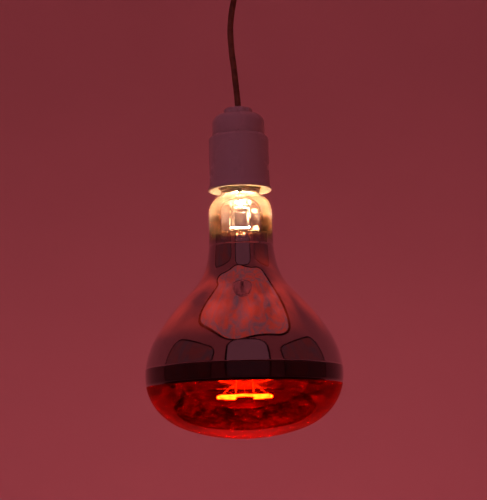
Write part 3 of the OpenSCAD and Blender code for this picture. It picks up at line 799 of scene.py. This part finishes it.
def make_filament():
    """The coil: fine wire wound round a ring that sags a little between its supports."""
    wire_r, pitch, per_turn = 0.16, 0.62, 12
    span = 2 * math.pi - 2 * HALF_GAP
    turns = int(FILAMENT_R * span / pitch)
    route = []
    for i in range(turns * per_turn + 1):
        share = i / (turns * per_turn)
        along = math.pi / 2 + HALF_GAP + span * share
        wind = 2 * math.pi * i / per_turn
        sag = 0.35 * abs(math.sin(3 * (along - math.pi / 2)))
        r = FILAMENT_R + (COIL_R - wire_r) * math.cos(wind)
        z = FILAMENT_Z - sag + (COIL_R - wire_r) * math.sin(wind)
        route.append(Vector((r * math.cos(along), r * math.sin(along), z)) * MM
                     + Vector((0, 0, LAMP_Z)))
    finish_piece(sweep("coiled_filament", route, wire_r * MM, 6), "lamp", "hot_filament",
                 "filament")


make_stem()
make_shield()
make_wires()
make_supports()
make_filament()


# ---------------------------------------------------------------- screw caps
PITCH = 3.629
MINOR_R, THREAD_DEPTH, CLEARANCE, RUNOUT = 12.1, 1.0, 0.3, 1.5


def ramp(x):
    """x held between 0 and 1."""
    return max(0.0, min(1.0, x))


def thread_wave(z, angle, start, end):
    """Height of the rolled thread, 0 to 1, running out at its two ends."""
    fade = ramp((z - start) / RUNOUT) * ramp((end - z) / RUNOUT)
    return fade * (0.5 + 0.5 * math.cos(2 * math.pi * z / PITCH - angle))


def levels(low, high, step):
    """Even heights from low to high, about step apart."""
    count = max(1, round((high - low) / step))
    return [low + (high - low) * i / count for i in range(count + 1)]


def make_lamp_cap():
    """The rolled screw shell of the lamp. Heights are from the rim of the lampholder."""
    drop = (RIM_Z - LAMP_Z) / MM
    foot, head = 155.2 - drop, 176.6 - drop
    thread_end = 173.4 - drop

    def outer(z, angle):
        bead = ramp(1.15 - (z - foot) / 1.2)
        wave = max(thread_wave(z, angle, foot + 1.2, thread_end), bead)
        return MINOR_R + THREAD_DEPTH * wave

    heights = levels(foot, thread_end, 0.25)
    neck = bezier((MINOR_R, thread_end), (MINOR_R, thread_end + 1.6), (10.6, head - 0.4),
                  (8.9, head), 8)
    loop = [(MINOR_R, z) for z in heights] + neck[1:]
    inside = [(r - 0.35, z - 0.25) for r, z in neck[::-1]] + [(MINOR_R - 0.35, foot)]
    last = len(heights)

    def shape(r, z, angle):
        return (outer(z, angle), z) if abs(r - MINOR_R) < 1e-6 and z <= heights[-1] else (r, z)

    cap = lathe("lamp_screw_cap", loop + inside, RIM_Z, 96, shape=shape)
    finish_piece(cap, "lamp", "cap_metal", "lamp_cap_shell")


def make_thread_shell():
    """The holder's threaded shell, with its flange on top."""
    foot, seat, flange = 2.0, 24.0, 0.6
    minor, thick = MINOR_R + CLEARANCE, 0.35

    def radius(z, angle):
        if z < 12:
            wave = max(thread_wave(z, angle, foot - 9, 99), 1 - (z - foot) / 2)
        else:
            wave = thread_wave(z, angle, 0, seat - 1)
        return minor + THREAD_DEPTH * wave

    heights = levels(foot, seat, 0.28)
    loop = ([(1, z) for z in heights] + [(16.4, seat + 0.1), (16.6, seat + flange / 2),
                                         (16.4, seat + flange)]
            + [(minor, seat + flange)] + [(2, z) for z in heights[::-1]])

    def shape(r, z, angle):
        if r == 1:
            return radius(z, angle) + thick, z
        return (radius(z, angle), z) if r == 2 else (r, z)

    shell = lathe("threaded_shell", loop, RIM_Z, 96, shape=shape)
    finish_piece(shell, "skirt", "brass", "thread_shell")


def make_cap_end():
    """The black glass at the end of the cap, and the lump of solder on it."""
    ring = lathe("cap_end_glass", soften(
        [(2.2, 174.2), (7.6, 174.2), (8, 174.9), (8, 176.9), (10.4, 176.9), (10.4, 177.7),
         (9.4, 178.5), (6.2, 180.3), (5.4, 180.8), (2.2, 180.8)], 0.4), LAMP_Z, 96)
    finish_piece(ring, "lamp_travel", "black_glass", "cap_insulator")

    def lump(r, z, angle):
        wobble = noise.noise(Vector((math.cos(angle) * r * 0.5, math.sin(angle) * r * 0.5, z)))
        return r, z + (0.12 * wobble if z > 181.3 else 0)

    tip = lathe("solder_tip", [(0, 180.8), (4.6, 180.8), (4.8, 181), (4.7, 181.3), (4.1, 181.5)]
                + arc((0, 180.4), 2.8, 25, 90, 8), LAMP_Z, 48, shape=lump)
    finish_piece(tip, "lamp_travel", "solder", "tip_contact")


make_lamp_cap()
make_thread_shell()
make_cap_end()


# ---------------------------------------------------------------- lampholder
SKIRT_H = (skirt_high.z - skirt_low.z) / MM
SKIRT_R, RIM_R, CAP_R = 19.35, skirt_high.x / MM, 16.95
SPIGOT_R = CAP_R - 0.35
BORE_R = SPIGOT_R + 0.3
CAP_TOP = SKIRT_H + 14.5


def make_skirt():
    """The white skirt: a flared rim, a chamfered top edge and a ledge for the shell."""
    loop = soften([(RIM_R - 0.5, 0), (RIM_R, 0.5), (RIM_R, 1.4), (SKIRT_R + 0.3, 3),
                   (SKIRT_R, 4.5), (SKIRT_R, SKIRT_H - 1.8), (BORE_R + 0.7, SKIRT_H),
                   (BORE_R, SKIRT_H), (BORE_R, 24), (14.1, 24), (14.1, 6), (18, 0.5),
                   (18.5, 0)], 0.6)
    finish_piece(lathe("white_skirt", loop, RIM_Z, 144), "skirt", "white_ceramic", "holder_skirt")


def make_cap():
    """The domed cap, with the posts inside it that the terminal carrier is screwed to."""
    crown = CAP_TOP - 0.5
    roof = crown - 2.8
    loop = ([(SPIGOT_R, 27.4), (SPIGOT_R, SKIRT_H + 0.2), (CAP_R - 0.15, SKIRT_H + 0.2),
             (CAP_R, SKIRT_H + 0.4)]
            + arc((CAP_R - 5.5, crown - 5.5), 5.5, 0, 90, 20)
            + [(9.2, crown + 0.15), (8.5, CAP_TOP), (5.2, CAP_TOP), (5.05, CAP_TOP - 0.2),
               (5.05, roof)]
            + arc((10.4, roof - 4), 4, 90, 0, 8) + [(14.4, 27), (SPIGOT_R - 0.4, 27)])
    shell = lathe("cap_shell", loop, RIM_Z, 144)
    posts = []
    for side in (-1, 1):
        post = lathe("post", [(1.4, 38), (2.6, 38), (2.6, roof - 0.6), (1.4, roof - 0.6)],
                     RIM_Z, 32)
        post.data.transform(Matrix.Translation((0, side * 10 * MM, 0)))
        posts.append(post)
    finish_piece(join("white_cap", [shell] + posts), "pendant", "white_ceramic", "holder_cap")


def make_nut():
    """The lobed cord grip nut."""
    foot = CAP_TOP - 3.8
    head_r, lobes = 8.3, 10
    loop = soften([(5, foot), (5, CAP_TOP), (head_r, CAP_TOP), (head_r, CAP_TOP + 3.4),
                   (5.4, CAP_TOP + 4.5), (2.3, CAP_TOP + 4.5), (2.3, foot + 6.2),
                   (3.7, foot + 6.2), (3.7, foot)], 0.5)

    def lobe(r, z, angle):
        if r < 5.6 or z < CAP_TOP:
            return r, z
        return r + 0.9 * (r / head_r) * abs(math.cos(lobes / 2 * angle)) ** 0.6, z

    finish_piece(lathe("cord_nut", loop, RIM_Z, 192, shape=lobe), "pendant", "white_ceramic",
                 "cord_grip_nut")


make_skirt()
make_cap()
make_nut()


# ---------------------------------------------------------------- cord bush
def make_bush():
    """The moulded ball the cord leaves the rose through."""
    loop = (bezier((4.35, -3.4), (3.3, -2.2), (2.5, -1), (2.45, 0), 8)
            + bezier((2.45, 0), (2.5, 1), (3.3, 2.2), (4.35, 3.4), 8)[1:]
            + arc((0, 0), 6, 34.5, -34.5, 18))
    bush = lathe("moulded_bush", loop, (bush_low.z + bush_high.z) / 2, 64)
    finish_piece(bush, "swing_ring", "black_rubber", "cord_bush")


make_bush()


# ---------------------------------------------------------------- stage and lights
FLOOR_Z = -1.6


def make_stage():
    """A pale round room: a flat floor that curves up into an even wall and a dome."""
    wall_r, curve = 3.2, 1.6
    pale, shaded = (0.62, 0.58, 0.57), (0.57, 0.53, 0.52)
    loop = ([(0, 0), (wall_r - curve, 0)]
            + bezier((wall_r - curve, 0), (wall_r - 0.45 * curve, 0), (wall_r, 0.45 * curve),
                     (wall_r, curve), 24)[1:]
            + bezier((wall_r, 2.4), (wall_r, 3.4), (2.2, 4.6), (0, 4.6), 24))
    bowl = lathe("pale_backdrop", [(r / MM, z / MM) for r, z in loop], FLOOR_Z, 96, closed=False)
    paper = Paint("pale_backdrop", pale, 0.9)
    paper.colour(paper.blend(paper.noise(3, 3), pale, shaded))
    dress(bowl, paper.material)


def light(kind, name, place, energy, colour, size, aim=None, **settings):
    """A light the camera doesn't see. size is a radius, or (width, height) for an area light."""
    data = bpy.data.lights.new(name, kind)
    data.energy = energy
    data.color = colour
    if kind == "AREA":
        data.shape = "RECTANGLE"
        data.size, data.size_y = size
    else:
        data.shadow_soft_size = size
    lamp = bpy.data.objects.new(name, data)
    bpy.context.scene.collection.objects.link(lamp)
    lamp.location = place
    if aim is not None:
        lamp.rotation_euler = (Vector(aim) - Vector(place)).to_track_quat("-Z", "Y").to_euler()
    lamp.visible_camera = False
    for key, value in settings.items():
        setattr(lamp, key, value)
    return lamp


def reflection_panel(name, place, aim, size, colours, border=0.09, corner=0.35):
    """Painted reflection: a dim glowing panel, blotchy in two colours, with a thin dark border, that
    the camera doesn't see, that casts no shadow and lights nothing diffusely, seen in reflections.
    """
    towards = (Vector(aim) - Vector(place)).to_track_quat("Z", "Y").to_matrix()
    glow = Paint(name, (0.02, 0.02, 0.02), 0.9)
    cloud = glow.noise(1.3, 6, 0.6, 2.0, glow.stretched((1.6, 1.0, 0.5)))
    patches = glow.span(cloud, 0.38, 0.62, 0, 1)
    glow.link(glow.blend(patches, *colours), glow.shader.inputs["Emission Color"])
    glow.set("Emission Strength", 1)
    dark = Paint(name + "_border", (0.006, 0.005, 0.005), 0.9)
    for label, margin, back, paint in (("", 0, 0, glow), ("_border", border, -0.02, dark)):
        w, h = size[0] / 2 - corner, size[1] / 2 - corner
        outline = []
        for x, y, first in ((w, h, 0), (-w, h, 90), (-w, -h, 180), (w, -h, 270)):
            outline += arc((x, y), corner + margin, first, first + 90, 10)
        panel = add_mesh(name + label, [Vector(place) + towards @ Vector((x, y, back))
                                        for x, y in outline], [list(range(len(outline)))],
                         smooth=False)
        dress(panel, paint.material)
        panel.visible_camera = panel.visible_diffuse = panel.visible_shadow = False


def make_painted_floor_shade():
    """A dark disc of painted shade that only reflections see: it stands for the unlit floor the
    lamp's face looks down on.
    """
    height, radius, sides = FLOOR_Z + 0.02, 2.4, 36
    rim = arc((0, 0), radius, 0, 360 - 360 / sides, sides - 1)
    disc = add_mesh("painted_floor_shade", [Vector((x, y, height)) for x, y in rim],
                    [list(range(sides))], smooth=False)
    # Painted shade: a near-black floor for the reflections in the lamp's face.
    dress(disc, Paint("painted_floor_shade", (0.012, 0.004, 0.005), 0.9).material)
    disc.visible_camera = disc.visible_diffuse = disc.visible_shadow = False


def make_lights():
    middle = (0, 0, LAMP_Z + 0.08)
    rosy = (1.0, 0.15, 0.19)
    # Glow colours for the panels below: painted reflections of a dim room, seen in the mirror and
    # glass.
    purple, red, mauve = (0.100, 0.026, 0.036), (0.36, 0.030, 0.022), (0.14, 0.045, 0.060)
    dim_red, dim_mauve = (0.09, 0.009, 0.009), (0.045, 0.013, 0.018)
    reflection_panel("panel_front", (0.14, -1.6, 0.25), (0.05, 0, 0.1), (1.45, 2.3), (purple, purple))
    reflection_panel("panel_top", (0.1, -0.2, 2.2), middle, (3.3, 3.0), (red, mauve), 0.16, 0.8)
    reflection_panel("panel_left", (-1.9, -0.7, 0.2), (0, 0, 0.1), (2.5, 2.3), (dim_red, dim_mauve))
    reflection_panel("panel_right", (2.1, -0.5, 0.2), (0, 0, 0.1), (2.4, 2.3), (dim_mauve, dim_red))
    make_painted_floor_shade()
    light("AREA", "soft_fill", (-0.6, -1.5, 0.7), 1.3, (0.78, 0.52, 1.0), (1.4, 1.2), middle,
          visible_glossy=False)
    light("POINT", "low_glow", (0, 1.6, LAMP_Z - 0.65), 35, rosy, 0.2, visible_glossy=False)
    light("POINT", "high_glow", (0, 1.4, 1.7), 5, rosy, 0.3, visible_glossy=False)
    light("POINT", "near_glow", (0, -2.4, -0.5), 2, rosy, 0.3, visible_glossy=False)
    glow = (1.0, 0.54, 0.26)
    for name, x, y, z, energy, colour, size in (
            ("rim_glow", 0, 0, 0.1525, 2.2, (1.0, 0.82, 0.60), 0.003),
            ("neck_glow", 0.009, -0.004, 0.142, 0.05, glow, 0.003),
            ("neck_glow_back", -0.009, 0.006, 0.139, 0.03, glow, 0.003),
            ("face_glow", 0, 0, FILAMENT_Z * MM, 0.16, (1.0, 0.30, 0.16), 0.012),
            ("low_face_glow", 0, 0, 0.012, 0.05, (1.0, 0.34, 0.16), 0.006)):
        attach(light("POINT", name, (x, y, LAMP_Z + z), energy, colour, size), "lamp")


make_stage()
make_lights()
bpy.context.scene.view_settings.view_transform = "Standard"
